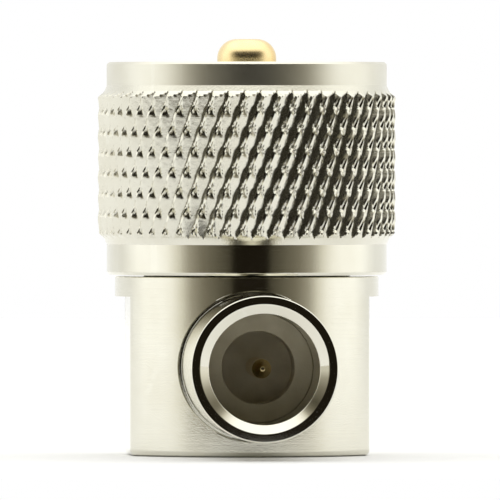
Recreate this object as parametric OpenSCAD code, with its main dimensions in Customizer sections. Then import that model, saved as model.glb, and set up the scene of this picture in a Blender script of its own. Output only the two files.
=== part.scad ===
// Right-angle coax adapter: a screw-on plug with a knurled coupling nut on top,
// and a plain push-on barrel with a recessed contact pin at the side.
// Millimetres, +Z along the plug, the side barrel points along -Y,
// origin in the middle of the bottom face, on the plug's axis.

/* [Elbow body] */
// Diameter of the turned body and its flange
body_d = 17.7; // [17:0.1:19]
// Height of the full round flange above the two flats
flange_h = 1.35; // [0.8:0.05:1.5]
// Width across the two flats
flat_w = 16; // [15:0.1:16.6]
// Chamfer round the bottom edge
bottom_chamfer = 0.3; // [0.1:0.05:0.5]
// Thickness of the body under the side barrel
port_floor = 1.08; // [0.8:0.02:1.6]
// Thickness of the body over the side barrel, up to the flange's top
port_roof = 0.98; // [0.7:0.02:2]

/* [Plug front] */
// Diameter of the neck that the coupling nut turns on
neck_d = 13.8; // [13.6:0.1:14.2]
// Height of the neck's shoulder above the flange
shoulder_h = 4.4; // [4.2:0.1:5.5]
// Diameter of the nose that enters the mating jack
nose_d = 11.9; // [11.5:0.1:12.3]
// Height of the nose above the shoulder
nose_h = 1.2; // [0.8:0.1:2]
// Chamfer on the nose's outer edge
nose_chamfer = 0.25; // [0.1:0.05:0.4]
// Width of the two locating teeth on the shoulder
tooth_w = 1.6; // [1:0.1:2.4]
// Height of the two locating teeth
tooth_h = 0.6; // [0.3:0.1:0.8]

/* [Plug contact] */
// Outer diameter of the plug's insulator
plug_insulator_d = 9.4; // [8.6:0.1:9.7]
// Depth of the insulator's seat below the flange's top
plug_insulator_sink = 2.6; // [2:0.1:3]
// Depth of the insulator's face behind the nose
plug_insulator_inset = 0.2; // [0.1:0.05:0.6]
// Diameter of the plug's centre pin
plug_pin_d = 3.96; // [3.8:0.02:4.2]
// Length of the centre pin in front of its insulator
plug_pin_reach = 10.5; // [9:0.1:12]
// Rounding of the centre pin's end
plug_pin_tip_r = 1.3; // [0.8:0.05:1.6]
// Diameter of the centre pin's stem inside the insulator
plug_stem_d = 3; // [2.6:0.1:3.4]
// Length of the stem below the side barrel's axis
plug_stem_tail = 2; // [1.4:0.1:2.6]

/* [Coupling nut] */
// Height of the coupling nut
nut_h = 14.25; // [13:0.05:16]
// Diameter of the nut's plain bands
band_d = 18.8; // [18.4:0.1:19.2]
// Height of the plain band above the knurl
top_band_h = 1.58; // [1:0.02:2.5]
// Height of the plain band below the knurl
low_band_h = 2.04; // [1.5:0.02:3]
// Chamfer on the nut's two outer edges
nut_chamfer = 0.16; // [0.1:0.02:0.3]
// Radial room between the neck and the crests of the nut's screw thread
thread_room = 0.5; // [0.4:0.05:0.6]
// Depth of the screw thread
thread_depth = 0.55; // [0.4:0.05:0.6]
// Height of the relief between the thread and the ring's land
relief_h = 1; // [0.6:0.1:1.5]

/* [Knurl] */
// Height of the knurl's crests above the plain bands
knurl_rise = 0.6; // [0.5:0.05:0.9]
// Depth of the slanting grooves between the crests
knurl_depth = 0.4; // [0.3:0.01:0.45]
// Depth of the notches that cut the crests into rows of points
notch_depth = 0.25; // [0.1:0.01:0.3]
// Slanting grooves round the nut
knurl_teeth = 56; // [40:2:70]
// Distance of a crest from the groove before it, as a share of the distance between two grooves
crest_place = 0.33; // [0.25:0.005:0.75]
// Turn of the first groove, as a share of the distance between two grooves
groove_start = 0.594; // [0:0.001:1]
// Distance between two rows of points
knurl_row = 1.37; // [1.1:0.01:1.8]
// Height of the flare between a plain band and the floor of the grooves
flare_h = 0.43; // [0.3:0.01:0.5]
// Distance of the first full row of the knurl from its end
knurl_end_h = 0.86; // [0.8:0.02:1.3]

/* [Retaining ring] */
// Thickness of the split ring
ring_h = 0.8; // [0.6:0.05:1]
// Radial width of the split ring
ring_w = 1.15; // [1:0.05:1.2]
// How far the ring reaches into the nut
ring_hold = 0.6; // [0.4:0.05:0.6]
// Angle of the ring's gap
ring_gap_angle = 26; // [15:1:60]
// Thickness of the nut's lip below the ring, and of its land above
lip_h = 1.2; // [0.9:0.05:1.3]
// Travel of the nut along the neck
nut_float = 1.2; // [0.4:0.1:1.3]

/* [Side barrel] */
// Outer diameter of the barrel
barrel_d = 9.7; // [9.4:0.05:9.8]
// Distance of the barrel's front from the plug's axis
port_reach = 20.8; // [18:0.1:26]
// Bevel on the barrel's outer edge
barrel_bevel = 0.06; // [0.04:0.01:0.3]
// Thickness of the barrel's wall at its mouth
mouth_wall = 0.575; // [0.4:0.005:0.8]
// Width of the countersink in the mouth
countersink_w = 0.625; // [0.3:0.005:0.8]
// Depth of the countersink
countersink_h = 0.38; // [0.2:0.02:0.8]
// Distance of the barrel's seat in the body from the plug's axis
barrel_seat = 7.2; // [6.9:0.05:7.3]
// Height of the shoulder between the barrel and the shank that is pressed into the body
shank_shoulder = 0.4; // [0.3:0.05:0.6]
// Distance of the shank's end from the plug's axis
shank_end = 5.3; // [5.2:0.05:5.6]
// Thickness of the step that the side insulator seats on
step_h = 1.3; // [0.8:0.05:1.6]
// Width of that step
step_w = 1.15; // [0.9:0.05:1.5]
// Width of the undercut in front of the body
undercut_w = 0.6; // [0.55:0.05:0.9]
// Depth of the undercut
undercut_depth = 0.2; // [0.2:0.05:0.3]

/* [Side contact] */
// Depth of the side insulator's face behind the barrel's front
face_depth = 7.6; // [4:0.1:9]
// Width of the side insulator's face round its recess
face_w = 1.225; // [0.8:0.005:1.6]
// Depth of that recess
recess_depth = 3.4; // [0.8:0.1:4]
// Diameter of the side contact pin
side_pin_d = 1.3; // [1.1:0.05:1.6]
// Depth of the pin's tip behind the barrel's front
side_pin_depth = 2.5; // [1.5:0.1:4]
// Length of the pin's conical point
side_point_h = 1.2; // [0.6:0.1:1.6]
// Diameter of the point's flat end
side_tip_d = 0.3; // [0.2:0.05:0.6]
// Diameter of the side pin's stem
side_stem_d = 0.9; // [0.7:0.05:0.95]

/* [End cap] */
// Diameter of the pressed cap in the bottom
cap_d = 9; // [8:0.1:10]
// Thickness of the cap
cap_h = 1; // [0.8:0.1:1.2]
// Diameter of the chamber in which the pins are joined
chamber_d = 7; // [6:0.1:7.8]

/* [Clearances] */
// Radial gap of pieces that are pressed together
press_gap = 0.01; // [0.005:0.005:0.02]
// Radial gap between the nut's lip and the neck
turn_gap = 0.1; // [0.06:0.01:0.15]
// Gap between the nut and the flange, and at each side of the ring
float_gap = 0.1; // [0.05:0.01:0.15]
// Radial gap round the barrel where it enters the body
barrel_gap = 0.12; // [0.06:0.01:0.2]

/* [Hidden] */
$fn = 96;

nickel = "#c9c4b2";
steel = "#8f8c82";
gold = "#d8ad4a";
ptfe = "#e8e6dd";

// Diameters along the side barrel
port_hole_d = barrel_d + 2 * barrel_gap;
mouth_d = barrel_d - 2 * mouth_wall;
bore_d = mouth_d - 2 * countersink_w;
shank_d = barrel_d - 2 * shank_shoulder;
tail_d = bore_d - 2 * step_w;
recess_d = bore_d - 2 * face_w;

// Heights along the plug
port_z = port_floor + port_hole_d / 2;
body_h = port_z + port_hole_d / 2 + port_roof;
plug_insulator_z = body_h - plug_insulator_sink;
shoulder_z = body_h + shoulder_h;
nose_z = shoulder_z + nose_h;
plug_face_z = nose_z - plug_insulator_inset;
nut_z = body_h + float_gap;
ring_z = nut_z + lip_h + float_gap;

// The ring fills a groove in the nut, and closes into a deeper one in the neck
lip_d = neck_d + 2 * turn_gap;
ring_d = lip_d + 2 * ring_hold;
ring_groove_d = ring_d + 2 * turn_gap;
ring_groove_h = ring_h + 2 * float_gap;
neck_groove_d = lip_d - 2 * ring_w - 2 * turn_gap;
neck_groove_z = ring_z - float_gap;
neck_groove_h = ring_h + nut_float + 2 * float_gap;

// Heights inside the nut, from its lower face
land_z = lip_h + ring_groove_h + lip_h;
thread_z = land_z + relief_h;
thread_minor_d = neck_d + 2 * thread_room;
thread_d = thread_minor_d + 2 * thread_depth;
thread_entry_h = thread_depth + nut_chamfer;

// The knurl's first row of notches is where its lower end has reached the full height, and its last row
// of points goes on for half a step above the last notches, to where the upper end begins
knurl_d = band_d + 2 * knurl_rise;
knurl_h = nut_h - top_band_h - low_band_h;
knurl_top_z = knurl_h - knurl_end_h;
knurl_rows = max(2, round((knurl_top_z - knurl_end_h) / knurl_row + 0.5));
knurl_step = (knurl_top_z - knurl_end_h) / (knurl_rows - 0.5);

// Distances along the side barrel, from the plug's axis
step_t = shank_end + step_h;
face_t = port_reach - face_depth;
recess_t = face_t - recess_depth;
side_tip_t = port_reach - side_pin_depth;
undercut_t = body_d / 2 + undercut_w / 2;

// Turns a profile of [radius, height] points round the plug's axis
module turned(points) {
    rotate_extrude() polygon(points);
}

// Moves what is drawn along +Z to the side barrel's axis, with heights as distances from the plug's axis
module along_port() {
    translate([0, 0, port_z]) rotate([90, 0, 0]) children();
}

// Body below the flange: a chamfered round bar with a flat at each side
module flatted_bar() {
    h = body_h - flange_h;
    c = bottom_chamfer;
    intersection() {
        turned([[0, 0], [body_d / 2 - c, 0], [body_d / 2, c], [body_d / 2, h], [0, h]]);
        rotate([90, 0, 0]) linear_extrude(height = 2 * body_d, center = true) polygon([
            [-flat_w / 2 + c, 0], [flat_w / 2 - c, 0], [flat_w / 2, c],
            [flat_w / 2, h], [-flat_w / 2, h], [-flat_w / 2, c]
        ]);
    }
}

// Flange, neck with the ring's groove, shoulder and nose, turned in one
module neck() {
    turned([
        [0, body_h - flange_h],
        [body_d / 2, body_h - flange_h],
        [body_d / 2, body_h],
        [neck_d / 2, body_h],
        [neck_d / 2, neck_groove_z],
        [neck_groove_d / 2, neck_groove_z],
        [neck_groove_d / 2, neck_groove_z + neck_groove_h],
        [neck_d / 2, neck_groove_z + neck_groove_h],
        [neck_d / 2, shoulder_z],
        [nose_d / 2, shoulder_z],
        [nose_d / 2, nose_z - nose_chamfer],
        [nose_d / 2 - nose_chamfer, nose_z],
        [0, nose_z]
    ]);
}

// Two teeth on the shoulder that stop the adapter from turning in its jack
module locating_teeth() {
    intersection() {
        translate([0, 0, shoulder_z]) cylinder(d = neck_d, h = tooth_h);
        translate([-neck_d, -tooth_w / 2, shoulder_z]) cube([2 * neck_d, tooth_w, tooth_h]);
    }
}

module elbow_body() {
    color(nickel) difference() {
        union() {
            flatted_bar();
            neck();
            locating_teeth();
        }
        translate([0, 0, plug_insulator_z]) cylinder(d = plug_insulator_d, h = nose_z);
        cylinder(d = chamber_d, h = shoulder_z);
        translate([0, 0, -cap_h]) cylinder(d = cap_d, h = 2 * cap_h);
        along_port() {
            cylinder(d = tail_d, h = body_d);
            translate([0, 0, shank_end]) cylinder(d = shank_d, h = body_d);
            translate([0, 0, barrel_seat]) cylinder(d = port_hole_d, h = body_d);
        }
    }
}

// Slanting grooves round the nut, with notches that cut the crests between them into rows of points.
// At both ends the teeth slope down to the floor of the grooves, and that flares down to the plain band
// and runs on a little inside it.
module knurl() {
    columns = 2 * knurl_teeth;
    floor_r = knurl_d / 2 - knurl_depth;
    tooth_end_h = knurl_end_h - flare_h;
    sunk_h = flare_h / 2;
    notch_half = min(knurl_step / 4, tooth_end_h * 3 / 4);
    // Heights of the rings of vertices, each with the depth of the notch there
    rings = concat(
        [[-sunk_h, 0], [flare_h, 0]],
        [
            for (row = [0 : knurl_rows - 1], side = [-1, 0, 1])
                [knurl_end_h + row * knurl_step + side * notch_half, side == 0 ? notch_depth : 0]
        ],
        [[knurl_top_z, 0], [knurl_h - flare_h, 0], [knurl_h + sunk_h, 0]]
    );
    last = len(rings) - 1;
    function end_r(inside) =
        inside < flare_h
            ? band_d / 2 + (floor_r - band_d / 2) * inside / flare_h
            : floor_r + knurl_depth * (inside - flare_h) / tooth_end_h;
    function turn(z, column) =
        let (climb = (z - knurl_h / 2) / (2 * knurl_step))
        let (place = floor(column / 2) + (column % 2) * crest_place)
        360 / knurl_teeth * (place + climb + groove_start);
    function vertex(ring, column) =
        let (z = rings[ring][0], a = turn(z, column))
        let (depth = column % 2 == 0 ? knurl_depth : rings[ring][1])
        let (r = min(knurl_d / 2 - depth, end_r(min(z, knurl_h - z))))
        [r * cos(a), r * sin(a), z];
    function at(ring, column) = ring * columns + column % columns;
    function cell(ring, column) =
        let (a = at(ring, column), b = at(ring, column + 1))
        let (c = at(ring + 1, column + 1), d = at(ring + 1, column))
        [[a, d, b], [b, d, c]];
    vertices = [for (ring = [0 : last], column = [0 : columns - 1]) vertex(ring, column)];
    sides = [for (ring = [0 : last - 1], column = [0 : columns - 1], face = cell(ring, column)) face];
    bottom = [for (column = [0 : columns - 1]) at(0, column)];
    top = [for (column = [columns - 1 : -1 : 0]) at(last, column)];
    polyhedron(vertices, concat(sides, [bottom, top]));
}

module coupling_nut() {
    color(nickel) translate([0, 0, nut_z]) difference() {
        union() {
            turned([
                [0, 0],
                [band_d / 2 - nut_chamfer, 0],
                [band_d / 2, nut_chamfer],
                [band_d / 2, nut_h - nut_chamfer],
                [band_d / 2 - nut_chamfer, nut_h],
                [0, nut_h]
            ]);
            translate([0, 0, low_band_h]) knurl();
        }
        turned([
            [0, -lip_h],
            [lip_d / 2, -lip_h],
            [lip_d / 2, lip_h],
            [ring_groove_d / 2, lip_h],
            [ring_groove_d / 2, lip_h + ring_groove_h],
            [lip_d / 2, lip_h + ring_groove_h],
            [lip_d / 2, land_z],
            [thread_d / 2, land_z],
            [thread_d / 2, thread_z],
            [thread_minor_d / 2, thread_z],
            [thread_minor_d / 2, nut_h - thread_entry_h],
            [thread_d / 2 + nut_chamfer, nut_h],
            [thread_d / 2 + nut_chamfer, nut_h + lip_h],
            [0, nut_h + lip_h]
        ]);
    }
}

module retaining_ring() {
    color(steel) translate([0, 0, ring_z])
        rotate([0, 0, 90 + ring_gap_angle / 2])
            rotate_extrude(angle = 360 - ring_gap_angle)
                translate([ring_d / 2 - ring_w, 0]) square([ring_w, ring_h]);
}

module plug_insulator() {
    color(ptfe) translate([0, 0, plug_insulator_z]) difference() {
        h = plug_face_z - plug_insulator_z;
        cylinder(d = plug_insulator_d - 2 * press_gap, h = h);
        translate([0, 0, -h / 2]) cylinder(d = plug_stem_d + 2 * press_gap, h = 2 * h);
    }
}

// Thick pin with a rounded end, and a thinner stem with a cross hole for the side pin
module plug_pin() {
    r = plug_pin_d / 2;
    stem_z = port_z - plug_stem_tail;
    color(gold) difference() {
        union() {
            translate([0, 0, plug_face_z]) rotate_extrude() intersection() {
                square([r, plug_pin_reach]);
                union() {
                    square([r, plug_pin_reach - plug_pin_tip_r]);
                    square([r - plug_pin_tip_r, plug_pin_reach]);
                    translate([r - plug_pin_tip_r, plug_pin_reach - plug_pin_tip_r])
                        circle(r = plug_pin_tip_r);
                }
            }
            translate([0, 0, stem_z]) cylinder(d = plug_stem_d, h = plug_face_z - stem_z);
        }
        along_port() cylinder(d = side_stem_d + 2 * press_gap, h = 2 * plug_pin_d, center = true);
    }
}

module side_barrel() {
    r = barrel_d / 2;
    color(nickel) along_port() turned([
        [tail_d / 2, shank_end],
        [shank_d / 2 - press_gap, shank_end],
        [shank_d / 2 - press_gap, barrel_seat],
        [r, barrel_seat],
        [r, undercut_t - undercut_w / 2],
        [r - undercut_depth, undercut_t - undercut_w / 2],
        [r - undercut_depth, undercut_t + undercut_w / 2],
        [r, undercut_t + undercut_w / 2],
        [r, port_reach - barrel_bevel],
        [r - barrel_bevel, port_reach],
        [mouth_d / 2, port_reach],
        [bore_d / 2, port_reach - countersink_h],
        [bore_d / 2, step_t],
        [tail_d / 2, step_t]
    ]);
}

module side_insulator() {
    hole_r = side_stem_d / 2 + press_gap;
    color(ptfe) along_port() turned([
        [hole_r, shank_end],
        [tail_d / 2 - press_gap, shank_end],
        [tail_d / 2 - press_gap, step_t],
        [bore_d / 2 - press_gap, step_t],
        [bore_d / 2 - press_gap, face_t],
        [recess_d / 2, face_t],
        [recess_d / 2, recess_t],
        [hole_r, recess_t]
    ]);
}

// Thin pin with a conical point, seated on the recess's floor, and a stem that crosses the plug's pin
module side_pin() {
    color(gold) along_port() turned([
        [0, -plug_stem_d / 2],
        [side_stem_d / 2, -plug_stem_d / 2],
        [side_stem_d / 2, recess_t],
        [side_pin_d / 2, recess_t],
        [side_pin_d / 2, side_tip_t - side_point_h],
        [side_tip_d / 2, side_tip_t],
        [0, side_tip_t]
    ]);
}

module end_cap() {
    color(nickel) cylinder(d = cap_d - 2 * press_gap, h = cap_h);
}

elbow_body();
coupling_nut();
retaining_ring();
plug_insulator();
plug_pin();
side_barrel();
side_insulator();
side_pin();
end_cap();
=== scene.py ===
"""Looks of a right-angle coax adapter, built round the packed frame of its solids.

The file is laid out as an add-on: property groups hold the sizes and colours, one operator makes each piece
or group of like pieces, one makes the stage, and a panel lists them. Lengths are metres in the frame's axes:
+Z along the plug, -Y along the side barrel, origin in the middle of the bottom. Each piece is a surface of
two parameters that numpy works out as whole arrays.
"""

import math

import bmesh
import bpy
import numpy as np
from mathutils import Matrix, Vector


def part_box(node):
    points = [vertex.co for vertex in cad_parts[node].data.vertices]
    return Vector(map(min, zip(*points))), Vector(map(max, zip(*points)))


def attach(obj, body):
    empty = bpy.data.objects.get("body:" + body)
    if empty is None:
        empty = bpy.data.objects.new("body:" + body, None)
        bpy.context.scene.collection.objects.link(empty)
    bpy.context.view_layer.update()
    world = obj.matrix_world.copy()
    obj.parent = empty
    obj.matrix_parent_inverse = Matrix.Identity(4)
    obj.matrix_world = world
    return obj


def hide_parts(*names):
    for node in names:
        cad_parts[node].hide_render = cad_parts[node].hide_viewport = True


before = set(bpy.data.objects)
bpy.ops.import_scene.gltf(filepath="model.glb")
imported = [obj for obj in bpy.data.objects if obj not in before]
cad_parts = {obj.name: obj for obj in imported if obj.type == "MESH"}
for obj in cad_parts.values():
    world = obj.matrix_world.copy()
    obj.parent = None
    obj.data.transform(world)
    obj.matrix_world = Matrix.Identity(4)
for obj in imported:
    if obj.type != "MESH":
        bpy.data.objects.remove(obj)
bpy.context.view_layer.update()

bl_info = {
    "name": "Coax adapter looks",
    "version": (1, 0, 0),
    "blender": (4, 5, 0),
    "location": "View3D > Sidebar > Adapter",
    "description": "Builds the finished pieces of a right-angle coax adapter round its frame",
    "category": "Object",
}

MM = 0.001
TURN = 2 * math.pi

# Corners of the nodes that give the pieces their outer sizes
BODY_LOW, BODY_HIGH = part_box("elbow_body")
NUT_LOW, NUT_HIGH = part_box("coupling_nut")
RING_LOW, RING_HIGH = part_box("retaining_ring")
PLUG_PIN_LOW, PLUG_PIN_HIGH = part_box("plug_pin")
PLUG_INSULATOR_LOW, PLUG_INSULATOR_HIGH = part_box("plug_insulator")
BARREL_LOW, BARREL_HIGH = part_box("side_barrel")
SIDE_INSULATOR_LOW, SIDE_INSULATOR_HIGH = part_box("side_insulator")
SIDE_PIN_LOW, SIDE_PIN_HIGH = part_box("side_pin")
CAP_LOW, CAP_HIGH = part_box("end_cap")
PORT_Z = (BARREL_LOW.z + BARREL_HIGH.z) / 2

# Points of the meshes along their curves
RAYS = 288
FLAT_POINTS = 13
BACK_POINTS = 73
WALL_POINTS = 25
KEY_POINTS = 9
ROUND_POINTS = 192
BARREL_POINTS = 256
SIDE_PIN_POINTS = 96
RING_POINTS = 145
TIP_POINTS = 17
THREAD_POINTS = 84
FLOOR_POINTS = 9

# Rounding of the edges of the nut, the barrel, the nut's bore and the side contact, the plug's pin and the
# end cap, and the ring and the plug's insulator
NUT_EDGE = 0.03 * MM
BARREL_EDGE = 0.04 * MM
BORE_EDGE = SIDE_EDGE = 0.05 * MM
PIN_EDGE = CAP_EDGE = 0.06 * MM
WIRE_EDGE = DISC_EDGE = 0.08 * MM
# Largest share of a side that the rounding of its corner takes
SIDE_SHARE = 0.2
# Points closer than this become one
WELD_SIZE = 2e-8
# Allowance for rounding errors where a place is counted in whole teeth
SLACK = 1e-6


def number(label, value, about, **options):
    """A number property with its label, default and description."""
    return bpy.props.FloatProperty(name=label, description=about, default=value, **options)


def length(label, size_mm, about):
    """A length property with its default given in millimetres."""
    return number(label, size_mm * MM, about, min=0.0, precision=5, unit="LENGTH", subtype="DISTANCE")


def diameter(label, size_mm, what):
    """The diameter of what is named."""
    return length(label, size_mm, f"Diameter of {what}")


def from_axis(label, size_mm, what):
    """How far what is named is from the plug's axis."""
    return length(label, size_mm, f"Distance of {what} from the plug's axis")


def rough(label, value, what):
    """The roughness of what is named, between nought and one."""
    about = f"Roughness of {what}"
    return number(f"{label} roughness", value, about, min=0.0, max=1.0, subtype="FACTOR")


def angle(label, degrees, about):
    """An angle property with its default given in degrees."""
    return number(label, math.radians(degrees), about, subtype="ANGLE", unit="ROTATION")


def tint(label, colour, about):
    """A colour property in linear light."""
    return bpy.props.FloatVectorProperty(
        name=label, description=about, default=colour, min=0.0, max=1.0, size=3, subtype="COLOR"
    )


class BodySizes(bpy.types.PropertyGroup):
    """Sizes of the turned body with its two flats, port hole, neck and nose."""

    flat_w: length("Flats", 16.0, "Width across the two flats")
    body_h: length("Body height", 12.0, "Height from the bottom to the flange's top")
    flange_h: length("Flange", 1.35, "Height of the full round flange above the flats")
    chamfer: length("Bottom chamfer", 0.3, "Chamfer round the bottom edge")
    edge: length("Broken edge", 0.07, "Rounding of the turned edges")
    hole_d: diameter("Port hole", 9.94, "the hole that the side barrel enters")
    hole_floor: from_axis("Port hole floor", 7.2, "that hole's floor")
    shank_d: diameter("Shank hole", 8.9, "the hole for the barrel's shank")
    shank_end: from_axis("Shank hole end", 5.3, "the shank hole's end")
    neck_d: diameter("Neck", 13.8, "the neck that the nut turns on")
    groove_d: length("Neck groove", 11.5, "Diameter at the bottom of the ring's groove")
    groove_z: length("Groove start", 13.3, "Height of the groove's lower side")
    groove_h: length("Groove width", 2.2, "Width of the groove along the neck")
    shoulder_z: length("Shoulder", 16.4, "Height of the neck's shoulder")
    nose_d: diameter("Nose", 11.9, "the nose")
    nose_chamfer: length("Nose chamfer", 0.25, "Chamfer on the nose's edge")
    bore_d: diameter("Insulator bore", 9.4, "the bore for the plug's insulator")
    bore_z: length("Insulator seat", 9.4, "Height of the bore's floor")
    tooth_w: length("Tooth width", 1.6, "Width of the two locating teeth")
    tooth_h: length("Tooth height", 0.6, "Height of the two locating teeth")
    cap_d: diameter("Cap pocket", 9.0, "the pocket for the end cap")
    cap_h: length("Cap pocket depth", 1.0, "Depth of the pocket for the end cap")


class NutSizes(bpy.types.PropertyGroup):
    """Sizes of the knurled coupling nut and of the ring that holds it."""

    band_d: diameter("Plain bands", 18.8, "the plain bands")
    chamfer: length("Edge chamfer", 0.16, "Chamfer on the two outer edges")
    low_band: length("Low band", 2.04, "Height of the plain band below the knurl")
    top_band: length("Top band", 1.58, "Height of the plain band above the knurl")
    flare_h: length("Flare", 0.43, "Height of the flare between a band and the floor of the main grooves")
    tooth_end_h: length("Tooth end", 0.34, "Height of the sloping ends of the teeth next to the flare")
    knurl_row: length("Knurl row", 1.367, "Distance between two rows of points")
    knurl_mid: length("Knurl middle", 7.4, "Height of the knurl's middle row above the nut's lower face")
    main_depth: length("Main groove", 0.41, "Depth of the grooves that rise to the right")
    cross_depth: length("Cross groove", 0.23, "Depth of the grooves that rise to the left")
    lip: length("Lip of the crest", 0.04, "How far the left edge of a crest lies below the right one")
    burr: length("Burr", 0.012, "Height of the roughness that the knurling tool leaves")
    thread_d: length("Thread crest", 14.8, "Minor diameter of the screw thread")
    thread_depth: length("Thread depth", 0.55, "Depth of the screw thread")
    thread_pitch: length("Thread pitch", 1.058, "Distance between two turns of the thread")
    entry_d: diameter("Entry", 16.22, "the thread's entry cone at the face")
    lip_d: length("Lip", 14.0, "Inner diameter of the lip and of the land above the ring")
    lip_h: length("Lip height", 1.2, "Height of the lip, and of the land")
    ring_groove_d: diameter("Ring groove", 15.4, "the groove for the ring")
    ring_groove_h: length("Ring groove width", 1.0, "Width of the groove for the ring")
    relief_d: diameter("Relief", 15.9, "the relief behind the thread")
    relief_h: length("Relief width", 1.0, "Width of the relief behind the thread")
    ring_w: length("Ring width", 1.15, "Radial width of the split ring")
    ring_gap: angle("Ring gap", 26.0, "Angle of the split ring's gap")


class PortSizes(bpy.types.PropertyGroup):
    """Sizes of the side barrel, the insulators and the two contacts."""

    barrel_seat: from_axis("Barrel seat", 7.2, "the barrel's shoulder")
    shank_d: diameter("Shank", 8.88, "the shank pressed into the body")
    undercut_t: from_axis("Undercut", 8.85, "the undercut")
    undercut_w: length("Undercut width", 0.6, "Width of the undercut in front of the body")
    undercut_depth: length("Undercut depth", 0.2, "Depth of the undercut")
    bevel: length("Barrel bevel", 0.06, "Bevel on the barrel's outer edge")
    mouth_d: diameter("Mouth", 8.55, "the countersunk mouth")
    countersink_h: length("Countersink", 0.38, "Depth of the countersunk mouth")
    bore_d: diameter("Bore", 7.3, "the barrel's bore")
    step_t: from_axis("Step", 6.6, "the insulator's step")
    tail_d: diameter("Tail hole", 5.0, "the hole through the step")
    recess_d: diameter("Recess", 4.85, "the recess in the insulator's face")
    recess_t: from_axis("Recess floor", 9.8, "the recess's floor")
    side_stem_d: diameter("Side stem", 0.9, "the side pin's stem")
    side_point_h: length("Side point", 1.2, "Length of the side pin's conical point")
    side_tip_d: diameter("Side tip", 0.3, "the point's flat end")
    plug_stem_d: diameter("Plug stem", 3.0, "the plug pin's stem")
    plug_tip_r: length("Plug tip", 1.3, "Rounding of the plug pin's end")
    fit_gap: length("Fit gap", 0.01, "Radial gap of the pressed fits")


class Finishes(bpy.types.PropertyGroup):
    """Colours of the plated, bare and moulded surfaces."""

    nickel: tint("Nickel", (0.74, 0.725, 0.64), "Bright satin nickel plate")
    nickel_shade: tint("Nickel shade", (0.70, 0.68, 0.585), "Duller patches of the nickel plate")
    gold: tint("Gold", (0.95, 0.80, 0.48), "Gold plate of the contacts")
    gold_shade: tint("Gold shade", (0.86, 0.64, 0.30), "Deeper tone in the gold plate")
    # The insulator's two tones are a white insulator darkened and browned: painted shade and painted warm
    # light bounced off the plating, as in the port's recess.
    insulator: tint("Insulator", (0.62, 0.57, 0.44), "Matt white insulator")
    insulator_shade: tint("Insulator shade", (0.50, 0.45, 0.33), "Duller patches of the insulator")
    spring: tint("Spring", (0.40, 0.39, 0.36), "Bare spring steel of the ring")
    spring_shade: tint("Spring shade", (0.32, 0.312, 0.288), "Duller patches of the spring steel")
    gloss: rough("Nickel", 0.08, "the nickel plate")
    port_gloss: rough("Barrel", 0.05, "the nickel plate on the side barrel")
    knurl_gloss: rough("Knurl", 0.2, "the nickel plate on the knurl")
    top_gloss: rough("Top band", 0.3, "the nickel plate above the knurl")
    plug_pin_gloss: rough("Plug pin", 0.28, "the gold plate on the plug's pin")
    side_pin_gloss: rough("Side pin", 0.12, "the gold plate on the side pin")
    spring_gloss: rough("Spring", 0.3, "the ring's spring steel")


class StageSettings(bpy.types.PropertyGroup):
    """Camera, floor and light of the studio."""

    azimuth: angle("Camera azimuth", 3.3, "How far the camera stands left of the side barrel's axis")
    distance: from_axis("Camera distance", 1000.0, "the camera")
    height: length("Camera height", 22.0, "Height of the camera above the floor")
    aim_side: length("Aim to the side", 0.22, "How far right of the plug's axis the camera aims")
    aim_height: length("Aim height", 13.74, "Height that the camera aims at")
    view_w: length("Picture width", 33.557, "Width of what the picture takes in at the plug's axis")
    floor_front: length("Floor front", 66.0, "Where the white floor ends in front")
    floor_half: length("Floor half width", 250.0, "Half of the floor's width")
    floor_back: length("Floor back", 700.0, "Where the white floor ends behind")
    light: number("Tent light", 1.35, "Brightness of the white tent round the object", min=0.0)


def grid_faces(n, m, wrap_n, wrap_m, start, split=False):
    """Quads of an n by m grid whose point (i, j) has the index start + i * m + j. If split, they are cut
    into triangles from corner (i + 1, j) to corner (i, j + 1)."""
    rows, columns = (n if wrap_n else n - 1), (m if wrap_m else m - 1)
    i, j = np.meshgrid(np.arange(rows), np.arange(columns), indexing="ij")
    i_next, j_next = (i + 1) % n, (j + 1) % m
    a, b, c, d = i * m + j, i_next * m + j, i_next * m + j_next, i * m + j_next
    if split:
        halves = [np.stack(half, -1).reshape(-1, 3) for half in ((a, b, d), (b, c, d))]
        return start + np.concatenate(halves)
    return start + np.stack([a, b, c, d], -1).reshape(-1, 4)


def grid(points, wrap_n=True, wrap_m=True, split=False):
    """A patch: an array of points (n, m, 3), joined to its neighbours along both parameters."""
    n, m = points.shape[:2]
    return points.reshape(-1, 3), lambda start: grid_faces(n, m, wrap_n, wrap_m, start, split)


def polygons(points):
    """A patch of separate flat faces: an array of points (faces, corners, 3)."""
    n, m = points.shape[:2]
    return points.reshape(-1, 3), lambda start: start + np.arange(n * m).reshape(n, m)


def weld(points, faces):
    """Points closer than the weld size become one, and faces lose the corners that fall together."""
    keys = np.round(points / WELD_SIZE).astype(np.int64)
    _, first, back = np.unique(keys, axis=0, return_index=True, return_inverse=True)
    back = back.reshape(-1)
    kept = []
    for block in faces:
        block = back[block]
        own = block != np.roll(block, -1, axis=1)
        whole = own.all(axis=1)
        kept += block[whole].tolist()
        cut = zip(block[~whole], own[~whole])
        kept += [row[keep].tolist() for row, keep in cut if keep.sum() > 2]
    return points[first], kept


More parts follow.
